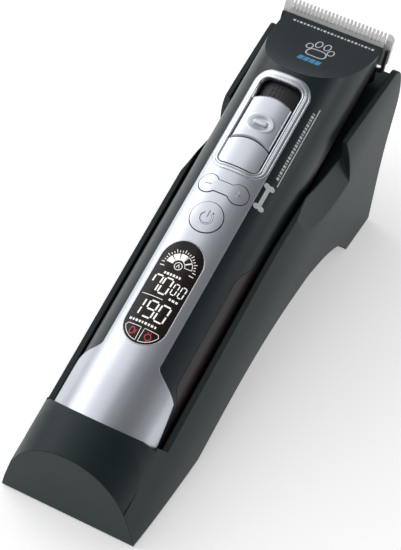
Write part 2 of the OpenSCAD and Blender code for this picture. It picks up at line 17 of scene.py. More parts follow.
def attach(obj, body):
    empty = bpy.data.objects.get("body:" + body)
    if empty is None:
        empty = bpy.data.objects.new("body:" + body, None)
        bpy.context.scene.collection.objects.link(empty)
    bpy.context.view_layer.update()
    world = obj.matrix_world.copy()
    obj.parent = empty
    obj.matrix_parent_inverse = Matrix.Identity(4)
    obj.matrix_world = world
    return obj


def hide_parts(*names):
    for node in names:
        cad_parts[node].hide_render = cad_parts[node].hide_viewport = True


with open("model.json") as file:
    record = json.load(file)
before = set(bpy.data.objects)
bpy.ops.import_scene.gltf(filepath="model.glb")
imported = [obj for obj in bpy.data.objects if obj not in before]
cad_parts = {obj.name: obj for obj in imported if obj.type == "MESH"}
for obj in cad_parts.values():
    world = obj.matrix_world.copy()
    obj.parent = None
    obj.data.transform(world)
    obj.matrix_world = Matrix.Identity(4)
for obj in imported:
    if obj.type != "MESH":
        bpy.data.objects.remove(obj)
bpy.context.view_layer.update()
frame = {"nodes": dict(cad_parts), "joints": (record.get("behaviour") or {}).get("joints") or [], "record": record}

# %% [markdown]
# ## One helper frame for the whole clipper
# The clipper leans back in the dock, so its own directions are not the table's.
# Working in table directions would tilt every mark by hand. Instead the lift
# direction of the charging dock gives "forward", and the blade hinge, whose place
# on the body is known, gives a fixed point. One function then places anything.

# %% Clipper directions
MM = 0.001
HINGE_ALONG = 88
HINGE_UP = -11.4
joints = {joint["name"]: joint for joint in frame["joints"]}
forward = Vector(joints["clipper_lift"]["axis"]).normalized()
left = Vector((0, 1, 0))
upward = forward.cross(left)
hinge_point = Vector(joints["blade_hinge"]["pos_m"])
button_axis = hinge_point - MM * (HINGE_ALONG * forward + HINGE_UP * upward)


def place(along, right, up):
    """A point on the clipper in millimetres, given in the table's frame in metres."""
    return button_axis + MM * (along * forward - right * left + up * upward)


print("power button axis at", [round(v, 4) for v in button_axis])

# %% [markdown]
# ## Camera
# A long slim object is best seen from far away with a long lens, so that both ends
# look the same width. The camera stands high on the right of the tail and is
# rolled, which makes the clipper run steeply upward. A camera can be aimed by a
# constraint, but a matrix built from its right, up and back directions keeps the
# roll exact.

# %% Camera
CAMERA_AT = (-0.4754, -0.2288, 0.6018)
CAMERA_RIGHT = (0.4810, -0.8756, 0.0443)
CAMERA_BACK = (-0.6101, -0.2979, 0.7342)
LENS_MM = 135.3
SENSOR_MM = 36
back = Vector(CAMERA_BACK).normalized()
right_of_camera = Vector(CAMERA_RIGHT)
right_of_camera = (right_of_camera - right_of_camera.dot(back) * back).normalized()
up_of_camera = back.cross(right_of_camera)
camera_data = bpy.data.cameras.new("camera")
camera_data.lens = LENS_MM
camera_data.sensor_width = SENSOR_MM
camera = bpy.data.objects.new("camera", camera_data)
bpy.context.scene.collection.objects.link(camera)
turn = Matrix((right_of_camera, up_of_camera, back)).transposed().to_4x4()
camera.matrix_world = Matrix.Translation(CAMERA_AT) @ turn
bpy.context.scene.camera = camera
print("camera is", round(Vector(CAMERA_AT).length, 3), "m from the dock's middle")

# %% [markdown]
# ## Colour from noise
# No real surface has one flat colour, and a painted image would have to be wrapped
# on to every piece. Noise measured in real metres needs no wrapping. These helpers
# make such a noise and let it carry a colour from a dark to a light shade.

# %% Colour from noise
# noise seldom leaves this part of 0 to 1, so a ramp uses only this part
NOISE_LOW, NOISE_HIGH = 0.3, 0.7


def noise(tree, scale, detail=3.0, stretch=(1, 1, 1)):
    """A cloudy pattern in real metres; stretch below 1 draws it out along that side."""
    where = tree.nodes.new("ShaderNodeTexCoord")
    mapping = tree.nodes.new("ShaderNodeMapping")
    mapping.inputs["Scale"].default_value = stretch
    cloud = tree.nodes.new("ShaderNodeTexNoise")
    cloud.inputs["Scale"].default_value = scale
    cloud.inputs["Detail"].default_value = detail
    tree.links.new(where.outputs["Object"], mapping.inputs["Vector"])
    tree.links.new(mapping.outputs["Vector"], cloud.inputs["Vector"])
    return cloud.outputs["Fac"]


def blank_material(name):
    """A new material with its node tree and its one surface shader."""
    material = bpy.data.materials.new(name)
    material.use_nodes = True
    return material, material.node_tree, material.node_tree.nodes["Principled BSDF"]


def tint(tree, shader, pattern, dark, light):
    """Lets the pattern carry the colour from dark to light."""
    ramp = tree.nodes.new("ShaderNodeValToRGB")
    low, high = ramp.color_ramp.elements
    low.position, low.color = NOISE_LOW, (*dark, 1)
    high.position, high.color = NOISE_HIGH, (*light, 1)
    tree.links.new(pattern, ramp.inputs["Fac"])
    tree.links.new(ramp.outputs["Color"], shader.inputs["Base Color"])


print("ramps use noise from", NOISE_LOW, "to", NOISE_HIGH)

# %% [markdown]
# ## Floor
# The dock stands on one large sheet of pale paper. The floor glows a little, like a
# light table, because a plain white sheet turns grey wherever the lamps fall off.

# %% Floor
FLOOR_HALF = 3.0
FLOOR_GLOW = 0.42
PAPER_DARK, PAPER_LIGHT = (0.93, 0.93, 0.93), (0.95, 0.95, 0.95)
PAPER_CLOUD, PAPER_ROUGH = 9, 0.9
floor_paper, tree, shader = blank_material("floor_paper")
tint(tree, shader, noise(tree, PAPER_CLOUD), PAPER_DARK, PAPER_LIGHT)
shader.inputs["Roughness"].default_value = PAPER_ROUGH
shader.inputs["Emission Color"].default_value = (1, 1, 1, 1)
shader.inputs["Emission Strength"].default_value = FLOOR_GLOW
floor_mesh = bpy.data.meshes.new("floor")
corners = [(-FLOOR_HALF, -FLOOR_HALF, 0), (FLOOR_HALF, -FLOOR_HALF, 0),
           (FLOOR_HALF, FLOOR_HALF, 0), (-FLOOR_HALF, FLOOR_HALF, 0)]
floor_mesh.from_pydata(corners, [], [(0, 1, 2, 3)])
floor_mesh.materials.append(floor_paper)
floor = bpy.data.objects.new("floor", floor_mesh)
bpy.context.scene.collection.objects.link(floor)
print("floor side in m:", 2 * FLOOR_HALF)

# %% [markdown]
# ## Lights
# Dark plastic only shows its form by what it reflects. Large soft lights close to
# the object draw broad, slow highlights, where a small lamp would draw a hard
# spark. One big sheet of light stands on the left, another hangs above, and a weak
# one fills the right.

# %% Lights
LIGHT_TARGET = Vector((0, 0, 0.05))
SOFTBOXES = [
    # name, place, width, height in metres, and power in watts
    ("key_left", (0.05, 0.75, 0.55), 1.1, 0.55, 3.1),
    ("overhead", (0.05, 0.35, 1.0), 1.2, 0.7, 1.6),
    ("fill_right", (0.5, -0.8, 0.3), 0.5, 0.3, 1.1),
]


def softbox(name, at, width, height, power):
    """A rectangular sheet of white light that faces the clipper."""
    lamp = bpy.data.lights.new(name, "AREA")
    lamp.shape = "RECTANGLE"
    lamp.size = width
    lamp.size_y = height
    lamp.energy = power
    box = bpy.data.objects.new(name, lamp)
    bpy.context.scene.collection.objects.link(box)
    box.location = at
    box.rotation_euler = (LIGHT_TARGET - Vector(at)).to_track_quat("-Z", "Y").to_euler()


for sheet_of_light in SOFTBOXES:
    softbox(*sheet_of_light)

# %% [markdown]
# ## Surroundings
# Silver lacquer mirrors the whole room, so an empty black world would leave dark
# bands in it. The world here fades from dim to pale toward the big light, like a
# studio with one white wall. A ramp over a direction does this without an image.

# %% Surroundings
DIM, PALE = (0.24, 0.24, 0.252), (0.85, 0.85, 0.8755)
DIM_UNTIL, PALE_FROM = 0.05, 0.75
WHITE_WALL = (0, 0.8, 0.6)
ROOM_STRENGTH = 0.65
world = bpy.data.worlds.new("surroundings")
bpy.context.scene.world = world
world.use_nodes = True
room = world.node_tree
direction = room.nodes.new("ShaderNodeTexCoord")
toward_wall = room.nodes.new("ShaderNodeVectorMath")
toward_wall.operation = "DOT_PRODUCT"
toward_wall.inputs[1].default_value = WHITE_WALL
ramp = room.nodes.new("ShaderNodeValToRGB")
dim_end, pale_end = ramp.color_ramp.elements
dim_end.position, dim_end.color = DIM_UNTIL, (*DIM, 1)
pale_end.position, pale_end.color = PALE_FROM, (*PALE, 1)
room.links.new(direction.outputs["Generated"], toward_wall.inputs[0])
room.links.new(toward_wall.outputs["Value"], ramp.inputs["Fac"])
room.links.new(ramp.outputs["Color"], room.nodes["Background"].inputs["Color"])
room.nodes["Background"].inputs["Strength"].default_value = ROOM_STRENGTH
bpy.context.scene.view_settings.view_transform = "Standard"
print("surroundings brighten from", DIM[0], "to", PALE[0])

# %% [markdown]
# ## One recipe for all finishes
# A finish is more than a colour. The gloss wanders a little where hands touch it, a
# fine grain breaks up the highlights, and real edges are rounded by a few tenths
# of a millimetre. Each of these could be set by hand on every material. One recipe
# with a few numbers is shorter, and keeps all the pieces looking like one product.

# %% Recipe for a finish
GRAINS_PER_GLOSS_PATCH = 8
BUMP_STRENGTH = 0.5
COAT_ROUGHNESS = 0.15


def patterned_value(tree, pattern, low, high):
    """Turns a 0 to 1 pattern into a range."""
    spread = tree.nodes.new("ShaderNodeMapRange")
    spread.inputs["To Min"].default_value = low
    spread.inputs["To Max"].default_value = high
    tree.links.new(pattern, spread.inputs["Value"])
    return spread.outputs["Result"]


def finish(name, dark, light, rough, grain, depth, metal=0.0, coat=0.0, edge=0.0003,
           stretch=(1, 1, 1), cloud=60, shine=0.5):
    """A surface with drifting colour, uneven gloss, a fine grain and softened edges."""
    material, tree, shader = blank_material(name)
    tint(tree, shader, noise(tree, cloud), dark, light)
    gloss = noise(tree, grain / GRAINS_PER_GLOSS_PATCH, 2, stretch)
    tree.links.new(patterned_value(tree, gloss, *rough), shader.inputs["Roughness"])
    bump = tree.nodes.new("ShaderNodeBump")
    bump.inputs["Strength"].default_value = BUMP_STRENGTH
    bump.inputs["Distance"].default_value = depth
    tree.links.new(noise(tree, grain, 2, stretch), bump.inputs["Height"])
    rounding = tree.nodes.new("ShaderNodeBevel")
    rounding.inputs["Radius"].default_value = edge
    tree.links.new(rounding.outputs["Normal"], bump.inputs["Normal"])
    tree.links.new(bump.outputs["Normal"], shader.inputs["Normal"])
    shader.inputs["Metallic"].default_value = metal
    shader.inputs["Coat Weight"].default_value = coat
    shader.inputs["Coat Roughness"].default_value = COAT_ROUGHNESS
    shader.inputs["Specular IOR Level"].default_value = shine
    return material


print("a patch of gloss spans", GRAINS_PER_GLOSS_PATCH, "grains")

# %% [markdown]
# ## Plastics
# The tool for moulded plastic is spark-eroded, which leaves a grain of about a
# fifth of a millimetre. The dock and the body are a very dark blue-green and the
# lower housing is a very dark brown; the bright colours belong to hidden pieces. In
# each row come the dark and the light shade, the roughness from and to, the grains
# in a metre and how deep they are in metres.

# %% Plastics
finishes = {
    "dock_plastic": finish("dock_satin", (0.009, 0.021, 0.022), (0.012, 0.026, 0.027),
                           (0.40, 0.48), 5200, 0.00003, edge=0.0008, shine=0.28),
    "base_plastic": finish("base_matte", (0.010, 0.011, 0.012), (0.014, 0.015, 0.016),
                           (0.5, 0.62), 4200, 0.00005),
    "grey_lacquer": finish("body_lacquer", (0.010, 0.022, 0.025), (0.014, 0.027, 0.031),
                           (0.31, 0.37), 9000, 0.000005, shine=0.38),
    "lower_plastic": finish("lower_satin", (0.025, 0.016, 0.018), (0.032, 0.020, 0.022),
                            (0.34, 0.44), 5200, 0.00003),
    "black_plastic": finish("black_satin", (0.008, 0.008, 0.009), (0.012, 0.012, 0.013),
                            (0.34, 0.46), 4800, 0.00003),
    "white_plastic": finish("white_satin", (0.62, 0.62, 0.59), (0.70, 0.70, 0.67),
                            (0.32, 0.42), 4800, 0.00003),
    "rubber": finish("foot_rubber", (0.010, 0.010, 0.010), (0.016, 0.016, 0.016),
                     (0.75, 0.9), 3200, 0.00006),
    "board": finish("circuit_board", (0.006, 0.055, 0.022), (0.010, 0.075, 0.030),
                    (0.3, 0.45), 2600, 0.00003, edge=0.0001),
    "cell_wrap": finish("cell_sleeve", (0.02, 0.09, 0.24), (0.03, 0.12, 0.30),
                        (0.18, 0.28), 900, 0.00004),
    "display": finish("display_block", (0.020, 0.014, 0.012), (0.026, 0.019, 0.016),
                      (0.2, 0.3), 4000, 0.00001),
}
print("plastic finishes:", len(finishes))

# %% [markdown]
# ## Metals, ceramic and window
# The face plate is sprayed with silver lacquer full of aluminium flakes, so it is
# smooth with a very fine sparkle. The blades are ground, which leaves straight
# scratches across them. Both use the same recipe: the flakes are a fine grain,
# and the scratches are that grain drawn out along one side. The trim has no
# softened edges, because its ridges are narrower than the softening would be. The
# ceramic of the moving blade and the smoked window share the recipe too.

# %% Metals, ceramic and window
SCRATCH = (1, 0.03, 1)
finishes.update({
    "silver_plate": finish("silver_lacquer", (0.57, 0.60, 0.65), (0.63, 0.66, 0.71),
                           (0.32, 0.37), 9000, 0.000002, metal=0.9, coat=0.1, edge=0.0002),
    "bright_trim": finish("polished_trim", (0.66, 0.69, 0.74), (0.72, 0.75, 0.79),
                          (0.24, 0.31), 3000, 0.000001, metal=1.0, edge=0.0),
    "blade_steel": finish("ground_steel", (0.84, 0.85, 0.86), (0.92, 0.92, 0.92),
                          (0.30, 0.44), 5000, 0.00002, metal=0.35, edge=0.0001, stretch=SCRATCH),
    "steel": finish("plain_steel", (0.42, 0.42, 0.43), (0.52, 0.52, 0.52),
                    (0.22, 0.36), 4000, 0.00002, metal=1.0, edge=0.0001, stretch=SCRATCH),
    "brass": finish("gilt_brass", (0.68, 0.47, 0.16), (0.78, 0.56, 0.22),
                    (0.16, 0.26), 3000, 0.00001, metal=1.0, edge=0.0001),
    "ceramic": finish("white_ceramic", (0.74, 0.74, 0.71), (0.80, 0.80, 0.78),
                      (0.12, 0.2), 3000, 0.000005, coat=0.3, edge=0.0001),
    "window": finish("smoked_window", (0.012, 0.007, 0.006), (0.016, 0.010, 0.008),
                     (0.16, 0.22), 1500, 0.000002, edge=0.0001, shine=0.25),
})
print("all finishes:", len(finishes))

# %% [markdown]
# ## Dressing the measured pieces
# Each piece in the frame already names what it is made of. Walking through that
# list is safer than naming pieces one by one, because none can be missed.

# %% Give every measured piece its finish
for subpart in frame["record"]["subparts"]:
    for material_slot in frame["nodes"][subpart["node"]].material_slots:
        material_slot.material = finishes[subpart["material_slot"]]

# %% [markdown]
# ## Marks that follow a curved surface
# Prints and raised symbols lie on a round body. A flat decal would float at its
# edges, and wrapping one on with a modifier needs a dense mesh. It is simpler to
# draw each mark as if the surface were unrolled, as (along, right) in millimetres,
# and let a function bend every point on to the surface with a given height.

# %% Surfaces
BODY_R = 21.0
PLATE_R = 21.6
WINDOW_R = 21.55
BUTTON_R = 21.95
ROCKER_R = 21.85
FACET_R = 104.0
FACET_AT = (139.2, 96.2)
NOSE_MIDDLE = 85.2


def on_barrel(radius):
    """The round body at one radius."""
    def surface(along, right, height):
        angle = math.asin(right / radius)
        return place(along, (radius + height) * math.sin(angle), (radius + height) * math.cos(angle))
    return surface


def facet_drop(along):
    """How far the hollow facet lies below the centre of its arc."""
    return math.sqrt(FACET_R ** 2 - (FACET_AT[0] - along) ** 2)


def on_nose(along, right, height):
    """The hollow facet in front of the bezel."""
    drop = facet_drop(along)
    lift = height / FACET_R
    return place(along + lift * (FACET_AT[0] - along), right, FACET_AT[1] - drop + lift * drop)


print("nose facet height at its middle:", round(FACET_AT[1] - facet_drop(NOSE_MIDDLE), 1), "mm")

# %% [markdown]
# ## Two ways to draw a mark
# Almost every mark is either a line of even width or a filled patch. A line is made
# by running a small cross-section along a path, and a patch by joining a top and a
# bottom outline. Long straight parts get points in between, because a single long
# face would cut through the round body and sink below it.

# %% Paths
STEP = 0.6


def with_midpoints(path, closed):
    """Adds points where two neighbours are far apart, so that a long line can bend."""
    ends = path[1:] + path[:1] if closed else path[1:]
    points = []
    for one, two in zip(path, ends):
        count = max(1, math.ceil(math.dist(one, two) / STEP))
        points += [(one[0] + (two[0] - one[0]) * i / count, one[1] + (two[1] - one[1]) * i / count)
                   for i in range(count)]
    return points if closed else points + [path[-1]]


def arc(centre, radius, start, end, count):
    """Points on an arc; 0 degrees points forward and 90 to the right."""
    turns = [math.radians(start + (end - start) * i / count) for i in range(count + 1)]
    return [(centre[0] + radius * math.cos(t), centre[1] + radius * math.sin(t)) for t in turns]


def line(start, end, count=1):
    """Points on a straight line."""
    return [(start[0] + (end[0] - start[0]) * i / count, start[1] + (end[1] - start[1]) * i / count)
            for i in range(count + 1)]


def once_round(count):
    """Angles once round a circle."""
    return [math.tau * i / count for i in range(count)]


print("a long line gets a point every", STEP, "mm")

# %% [markdown]
# ## Cross-sections
# A printed line is a flat ribbon and a raised one is a bead with a round back. Both
# reach a little way into the body, so that no gap shows under them.

# %% Cross-sections
PRINT_TOP = 0.03
PRINT_ROOT = -0.12
BEAD_ROOT = -0.15


def ribbon(width, high=PRINT_TOP):
    """Cross-section of a flat printed line, with enough points on top to follow a curve."""
    count = math.ceil(width / STEP) + 1
    top = [(-width / 2 + width * i / count, high) for i in range(count + 1)]
    return [(-width / 2, PRINT_ROOT), *top, (width / 2, PRINT_ROOT)]


def bead(width, high, low=BEAD_ROOT):
    """Cross-section of a raised line with a rounded back."""
    half = width / 2
    over = [(-half * math.cos(math.radians(t)), high * math.sin(math.radians(t))) for t in range(0, 181, 20)]
    return [(-half, low), *over, (half, low)]


print("points in a 1 mm ribbon:", len(ribbon(1)))

# %% [markdown]
# ## From points to faces
# A sweep places the cross-section at every point of the path, turned to follow it,
# and joins each ring of points to the next. A fill joins a top and a bottom. Both
# make closed solids, so the marks can also be exported as real geometry.

# %% Lines and patches
def sweep(mesh, path, profile, surface, closed=False):
    """Runs a closed cross-section of (sideways, height) points along a path."""
    path = with_midpoints(path, closed)
    rings = []
    for i, (along, right) in enumerate(path):
        before = path[i - 1] if closed or i else path[i]
        after = path[(i + 1) % len(path)] if closed or i + 1 < len(path) else path[i]
        step = Vector((after[0] - before[0], after[1] - before[1])).normalized()
        rings.append([mesh.verts.new(surface(along - step.y * aside, right + step.x * aside, height))
                      for aside, height in profile])
    pairs = list(zip(rings, rings[1:] + rings[:1]))
    for one, two in pairs if closed else pairs[:-1]:
        for k in range(len(profile)):
            n = (k + 1) % len(profile)
            mesh.faces.new((one[k], one[n], two[n], two[k]))
    if not closed:
        mesh.faces.new(rings[0])
        mesh.faces.new(rings[-1][::-1])


def fill(mesh, outline, surface, low=PRINT_ROOT, high=PRINT_TOP):
    """A filled shape with a top and a bottom that both follow the surface."""
    top = [mesh.verts.new(surface(along, right, high)) for along, right in outline]
    bottom = [mesh.verts.new(surface(along, right, low)) for along, right in outline]
    mesh.faces.new(top)
    mesh.faces.new(bottom[::-1])
    for i in range(len(outline)):
        n = (i + 1) % len(outline)
        mesh.faces.new((top[i], bottom[i], bottom[n], top[n]))


print("ways to draw: a swept line and a filled patch")

# %% [markdown]
# ## From faces to a piece
# A finished mesh gets a name, a finish and the body that carries it, so that it
# moves with its joint. Edges sharper than a set angle stay crisp; the others are
# shaded smooth.

# %% Pieces
CRISP_FROM = 30


def make_piece(name, mesh, material, body, crisp_from=CRISP_FROM):
    """Turns drawn geometry into a named piece that rides on a body."""
    bmesh.ops.recalc_face_normals(mesh, faces=mesh.faces)
    data = bpy.data.meshes.new(name)
    mesh.to_mesh(data)
    mesh.free()
    data.materials.append(material)
    data.shade_smooth()
    data.set_sharp_from_angle(angle=math.radians(crisp_from))
    piece = bpy.data.objects.new(name, data)
    bpy.context.scene.collection.objects.link(piece)
    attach(piece, body)
    print(name, len(data.polygons), "faces")
    return piece


print("edges are crisp from", CRISP_FROM, "degrees")

# %% [markdown]
# ## Inks and glow
# The prints are thin screen-printed ink. The display's figures are lit from
# behind, so they give off a little light of their own; without it they would look
# like grey paint under a dark window.

# %% Inks
GLOW_CLOUD = 250
GLOW_ROUGH = (0.25, 0.35)


def ink(name, dark, light):
    """A thin printed colour with uneven coverage."""
    return finish(name, dark, light, (0.4, 0.5), 6000, 0.000005, edge=0.00005, cloud=900)


def glow(name, dark, light, strength):
    """A lit display figure, slightly uneven like a real backlight."""
    material, tree, shader = blank_material(name)
    pattern = noise(tree, GLOW_CLOUD)
    tint(tree, shader, pattern, dark, light)
    tree.links.new(patterned_value(tree, pattern, *GLOW_ROUGH), shader.inputs["Roughness"])
    shader.inputs["Emission Color"].default_value = (*light, 1)
    shader.inputs["Emission Strength"].default_value = strength
    return material


white_ink = ink("white_ink", (0.66, 0.68, 0.69), (0.78, 0.80, 0.80))
blue_ink = ink("blue_ink", (0.05, 0.29, 0.56), (0.09, 0.38, 0.66))
# dark ink for the pinhead lamp, and painted shadow beside the raised symbols
dark_ink_and_painted_shadow = ink("dark_ink_and_painted_shadow", (0.035, 0.038, 0.042), (0.055, 0.058, 0.062))
white_glow = glow("white_glow", (0.74, 0.70, 0.66), (0.90, 0.87, 0.83), 0.55)
red_glow = glow("red_glow", (0.42, 0.03, 0.04), (0.55, 0.05, 0.06), 0.35)
print("inks:", [material.name for material in (white_ink, blue_ink, dark_ink_and_painted_shadow)])
print("glows:", [material.name for material in (white_glow, red_glow)])

# %% [markdown]
# ## Paw print on the nose
# The nose carries a small printed badge. Here it is a plain paw: a pad and four
# toes drawn as white outlines over a blue band, so it belongs to no maker.

# %% Paw print
PAW_ALONG, PAW_RIGHT = 85.6, 1.0
PAD_SHIFT, PAD_LONG, PAD_WIDE = -1.2, 2.9, 3.9
PAD_WAIST, PAD_TAPER = 0.22, 0.12
TOE_HALF_WIDE = 1.25
TOES = [(1.9, -4.5, 1.6), (4.4, -1.8, 1.9), (4.4, 1.8, 1.9), (1.9, 4.5, 1.6)]
PAD_LINE, TOE_LINE = 0.5, 0.42
nose_print = bmesh.new()
pad = [(PAW_ALONG + PAD_SHIFT + PAD_LONG * math.cos(t) * (1 - PAD_WAIST * math.cos(2 * t)),
        PAW_RIGHT + PAD_WIDE * math.sin(t) * (1 - PAD_TAPER * math.cos(t))) for t in once_round(40)]
sweep(nose_print, pad, ribbon(PAD_LINE), on_nose, closed=True)
for toe_along, toe_right, toe_half_long in TOES:
    toe = [(PAW_ALONG + toe_along + toe_half_long * math.cos(t),
            PAW_RIGHT + toe_right + TOE_HALF_WIDE * math.sin(t)) for t in once_round(24)]
    sweep(nose_print, toe, ribbon(TOE_LINE), on_nose, closed=True)
make_piece("nose_paw_print", nose_print, white_ink, "clipper")

# %% [markdown]
# ## Blue band
# Four leaning bars stand under the paw. Each is a filled patch with four corners.

# %% Blue band
BAND_FOOT, BAND_HEAD = PAW_ALONG - 8.0, PAW_ALONG - 5.3
BAR_LEFT, BAR_RIGHT, BAR_LEAN = 1.1, 0.9, 0.2
blue_band = bmesh.new()
for shift in (-3.6, -1.2, 1.2, 3.6):
    middle = PAW_RIGHT + shift
    bar = [(BAND_FOOT, middle - BAR_LEFT), (BAND_FOOT, middle + BAR_RIGHT),
           (BAND_HEAD, middle + BAR_RIGHT + BAR_LEAN), (BAND_HEAD, middle - BAR_LEFT + BAR_LEAN)]
    fill(blue_band, bar, on_nose)
make_piece("nose_blue_band", blue_band, blue_ink, "clipper")

# %% [markdown]
# ## Printed lines
# A row of print runs under the blades and another along the flank, with a fine
# line beside it. The words are left out. Short dashes of uneven length keep the
# same grey value and rhythm without spelling anything.

# %% Line of dashes on the nose
DASH_BEAT = [1.1, 0.5, 1.1, 0.8, 1.1, 0.5, 0.8]
NOSE_LINE_ALONG, NOSE_LINE_FROM = 98.3, -16.5


def dashes(mesh, along_line, surface, lengths, gap, width):
    """A row of dashes; along_line(s) gives the point at a distance s from its start."""
    at = 0.0
    for length in lengths:
        sweep(mesh, [along_line(at), along_line(at + length)], ribbon(width), surface)
        at += length + gap
    return at


nose_line = bmesh.new()
reach = dashes(nose_line, lambda s: (NOSE_LINE_ALONG, NOSE_LINE_FROM + s), on_nose,
               DASH_BEAT * 3 + DASH_BEAT[:3], gap=0.62, width=0.95)
make_piece("nose_printed_line", nose_line, white_ink, "clipper")
print("nose line is", round(reach, 1), "mm long")

# %% [markdown]
# ## Flank line
# The flank line lies on the round body, so it takes the barrel surface instead.
# Its dashes stand just beside a hairline that starts after the bone.

# %% Flank line
HAIRLINE_RIGHT, HAIRLINE_FROM, HAIRLINE_TO = 15.5, 24.6, 60
HAIRLINE_WIDE = 0.3
FLANK_DASH_RIGHT, FLANK_DASH_FROM = 14.5, 26.8
flank = on_barrel(BODY_R)
flank_print = bmesh.new()
hairline = line((HAIRLINE_FROM, HAIRLINE_RIGHT), (HAIRLINE_TO, HAIRLINE_RIGHT), 24)
sweep(flank_print, hairline, ribbon(HAIRLINE_WIDE), flank)
dashes(flank_print, lambda s: (FLANK_DASH_FROM + s, FLANK_DASH_RIGHT), flank,
       DASH_BEAT * 3 + DASH_BEAT[:2], gap=0.5, width=0.85)
make_piece("flank_printed_line", flank_print, white_ink, "clipper")

# %% [markdown]
# ## Bone mark
# The flank print starts with a larger mark. A little bone says "pets" as well as
# any name would. It is a thick line with two round knobs at each end; the knobs'
# tops differ by a few microns, so that overlapping faces do not flicker.

# %% Bone mark
BONE_FROM, BONE_TO, BONE_RIGHT = 13.6, 22.4, 13.6
SHAFT_INSET, SHAFT_WIDTH = 0.6, 1.3
KNOB_R, KNOB_ASIDE = 1.05, 0.85
KNOB_TOP, KNOB_OFFSET = 0.032, 0.002
bone = bmesh.new()
shaft = line((BONE_FROM + SHAFT_INSET, BONE_RIGHT), (BONE_TO - SHAFT_INSET, BONE_RIGHT), 6)
sweep(bone, shaft, ribbon(SHAFT_WIDTH), flank)
for knob_along in (BONE_FROM, BONE_TO):
    for aside in (-KNOB_ASIDE, KNOB_ASIDE):
        knob = arc((knob_along, BONE_RIGHT + aside), KNOB_R, 0, 342, 19)
        fill(bone, knob, flank, high=KNOB_TOP + KNOB_OFFSET * aside)
make_piece("flank_bone_mark", bone, white_ink, "clipper")

# %% [markdown]
# ## Display figures
# The window is a dark lens. Its figures are drawn like a real segment display, with
# seven straight bars for each digit. Each bar is its own short ribbon, so the
# digits stay crisp on the curve.

# %% Digits
SEGMENTS = {"0": "abcdef", "1": "bc", "7": "abcf", "9": "abcdfg"}
SLANT = 0.08
SEGMENT_GAP = 0.55
DIGITS = [
    # figure, along, right, height, width, bar
    ("7", -30.4, -4.6, 6.6, 3.1, 0.62), ("0", -30.4, -0.4, 6.6, 3.1, 0.62),
    ("0", -30.2, 3.3, 4.4, 1.7, 0.42), ("0", -30.2, 6.1, 4.4, 1.7, 0.42),
    ("1", -40.6, -6.2, 6.8, 3.4, 0.62), ("9", -40.6, -1.0, 6.8, 3.4, 0.62),
    ("0", -40.6, 3.7, 6.8, 3.4, 0.62),
]
window = on_barrel(WINDOW_R)


def digit(mesh, figure, along, right, tall, wide, thick):
    """One seven-segment digit that stands toward the head."""
    half_tall, half_wide, gap = tall / 2, wide / 2, thick * SEGMENT_GAP
    ends = {
        "a": ((half_tall, gap - half_wide), (half_tall, half_wide - gap)),
        "g": ((0, gap - half_wide), (0, half_wide - gap)),
        "d": ((-half_tall, gap - half_wide), (-half_tall, half_wide - gap)),
        "f": ((gap, -half_wide), (half_tall - gap, -half_wide)),
        "b": ((gap, half_wide), (half_tall - gap, half_wide)),
        "e": ((gap - half_tall, -half_wide), (-gap, -half_wide)),
        "c": ((gap - half_tall, half_wide), (-gap, half_wide)),
    }
    for segment in SEGMENTS[figure]:
        path = [(along + up, right + aside + SLANT * up) for up, aside in ends[segment]]
        sweep(mesh, path, ribbon(thick), window)


figures = bmesh.new()
for row in DIGITS:
    digit(figures, *row)
make_piece("display_digits", figures, white_glow, "clipper")

# %% [markdown]
# ## Load gauge
# The fan above the digits shows how hard the motor works. Three of its five wedges
# are lit and two are only outlined. A lit wedge is a very wide ribbon run along a
# short arc, which saves cutting a ring into pieces.

# %% Load gauge
GAUGE_ALONG = -21.6
GAUGE_AT = (GAUGE_ALONG, 0)
LIT_WEDGES = ((-85, -53), (-49, -17), (-13, 19))
DARK_WEDGES = ((23, 51), (55, 84))
WEDGE_MIDDLE, WEDGE_WIDE = 3.75, 2.7
WEDGE_IN, WEDGE_OUT = 2.4, 5.1
TICK_FROM, TICK_TO, LONG_TICK_TO = 5.6, 6.4, 6.9
FINE, THIN, STRONG = 0.22, 0.26, 0.3
HUB_R, ARROW_LINE = 1.45, 0.24
gauge = bmesh.new()
for start, end in LIT_WEDGES:
    sweep(gauge, arc(GAUGE_AT, WEDGE_MIDDLE, start, end, 8), ribbon(WEDGE_WIDE), window)
for start, end in DARK_WEDGES:
    fan = arc(GAUGE_AT, WEDGE_OUT, start, end, 8) + arc(GAUGE_AT, WEDGE_IN, end, start, 8)
    sweep(gauge, fan, ribbon(FINE), window, closed=True)
for tick in range(-90, 91, 10):
    far = LONG_TICK_TO if tick % 30 == 0 else TICK_TO
    ends = [arc(GAUGE_AT, radius, tick, tick, 1)[0] for radius in (TICK_FROM, far)]
    sweep(gauge, ends, ribbon(THIN), window)
sweep(gauge, arc(GAUGE_AT, HUB_R, 0, 345, 23), ribbon(THIN), window, closed=True)
hub_arrow = [(GAUGE_ALONG - 0.7, -0.6), (GAUGE_ALONG + 0.75, 0), (GAUGE_ALONG - 0.7, 0.6)]
sweep(gauge, hub_arrow, ribbon(ARROW_LINE), window)
for side in (-1, 1):
    foot = [(GAUGE_ALONG - 1.5, side * 5.0), (GAUGE_ALONG - 1.5, side * 6.8)]
    sweep(gauge, foot, ribbon(STRONG), window)
make_piece("display_gauge", gauge, white_glow, "clipper")

# %% [markdown]
# ## Dividers and small dashes
# Small captions stand beside the figures. Dashes take their place, as they do on
# the body, and a hairline parts the two rows of digits.

